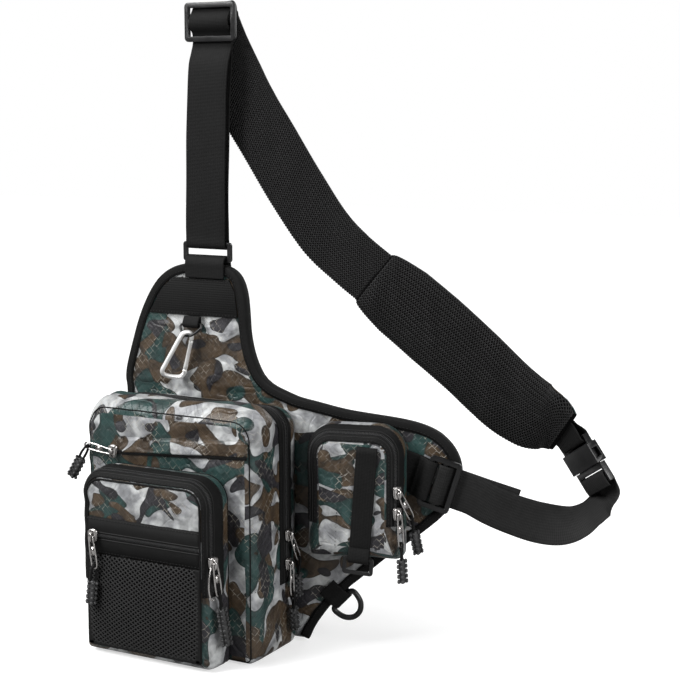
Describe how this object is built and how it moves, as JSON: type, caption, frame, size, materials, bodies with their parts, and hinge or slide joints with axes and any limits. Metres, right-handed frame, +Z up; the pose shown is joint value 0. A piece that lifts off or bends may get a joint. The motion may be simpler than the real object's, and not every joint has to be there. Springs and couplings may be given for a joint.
{
  "type": "sling tackle bag",
  "caption": "Soft sling bag for fishing tackle with a padded back panel, side wing, zipped pockets, net pocket, padded shoulder strap, buckled waist strap and a hanging snap hook.",
  "frame": {"origin": "underside of the strap's fold at the top, where the bag hangs from a shoulder or a peg", "axes": "+Z up, the pocketed front faces -Y, the wing with its side pocket points to +X"},
  "size_m": [0.4911, 0.2375, 0.6082],
  "materials": {
    "camouflage_cloth": "coated printed cloth with a fine raised weave",
    "padded_cloth": "black spacer mesh over foam with a printed outer face",
    "webbing": "black ribbed webbing",
    "zip_tape": "black woven zip tape with a coil",
    "net": "black open net",
    "moulded_plastic": "black moulded plastic, satin",
    "rubber": "soft black rubber",
    "steel": "plated metal, polished"
  },
  "bodies": {
    "bag": {"back_panel": "camouflage_cloth", "panel_binding": "webbing", "neck_patch": "webbing", "main_shell": "camouflage_cloth", "main_zip": "zip_tape", "slip_zip": "zip_tape", "slip_welt": "camouflage_cloth", "front_shell": "camouflage_cloth", "front_zip": "zip_tape", "net_zip": "zip_tape", "net_panel": "net", "side_shell": "camouflage_cloth", "side_zip": "zip_tape", "side_strap": "webbing", "side_ring": "moulded_plastic", "neck_ring": "moulded_plastic", "neck_loop": "webbing", "top_slider": "moulded_plastic", "upper_strap": "webbing", "shoulder_strap": "padded_cloth", "shoulder_sleeve": "padded_cloth", "buckle_socket": "moulded_plastic", "buckle_plug": "moulded_plastic", "sleeve_tail": "webbing", "wing_slider": "moulded_plastic", "wing_anchor": "webbing", "waist_strap": "webbing", "d_ring_tab": "webbing", "d_ring": "moulded_plastic", "hook_tab": "webbing", "hook_ring": "moulded_plastic", "carabiner_body": "steel", "slip_pull": "steel", "slip_tail": "rubber", "net_pull": "steel", "net_tail": "rubber", "front_pull": "steel", "front_tail": "rubber", "main_upper_pull": "steel", "main_upper_tail": "rubber", "main_lower_pull": "steel", "main_lower_tail": "rubber", "side_upper_pull": "steel", "side_upper_tail": "rubber", "side_lower_pull": "steel", "side_lower_tail": "rubber"},
    "gate": {"carabiner_gate": "steel"}
  },
  "joints": [
    {"name": "gate_hinge", "type": "hinge", "parent": "bag", "child": "gate", "pos_m": [-0.02884, -0.01413, -0.34806], "axis": [0.7747, -0.5299, -0.3449], "range_deg": [0, 12], "stiffness_Nm_per_rad": 0.01, "springref_deg": -5.73}
  ]
}
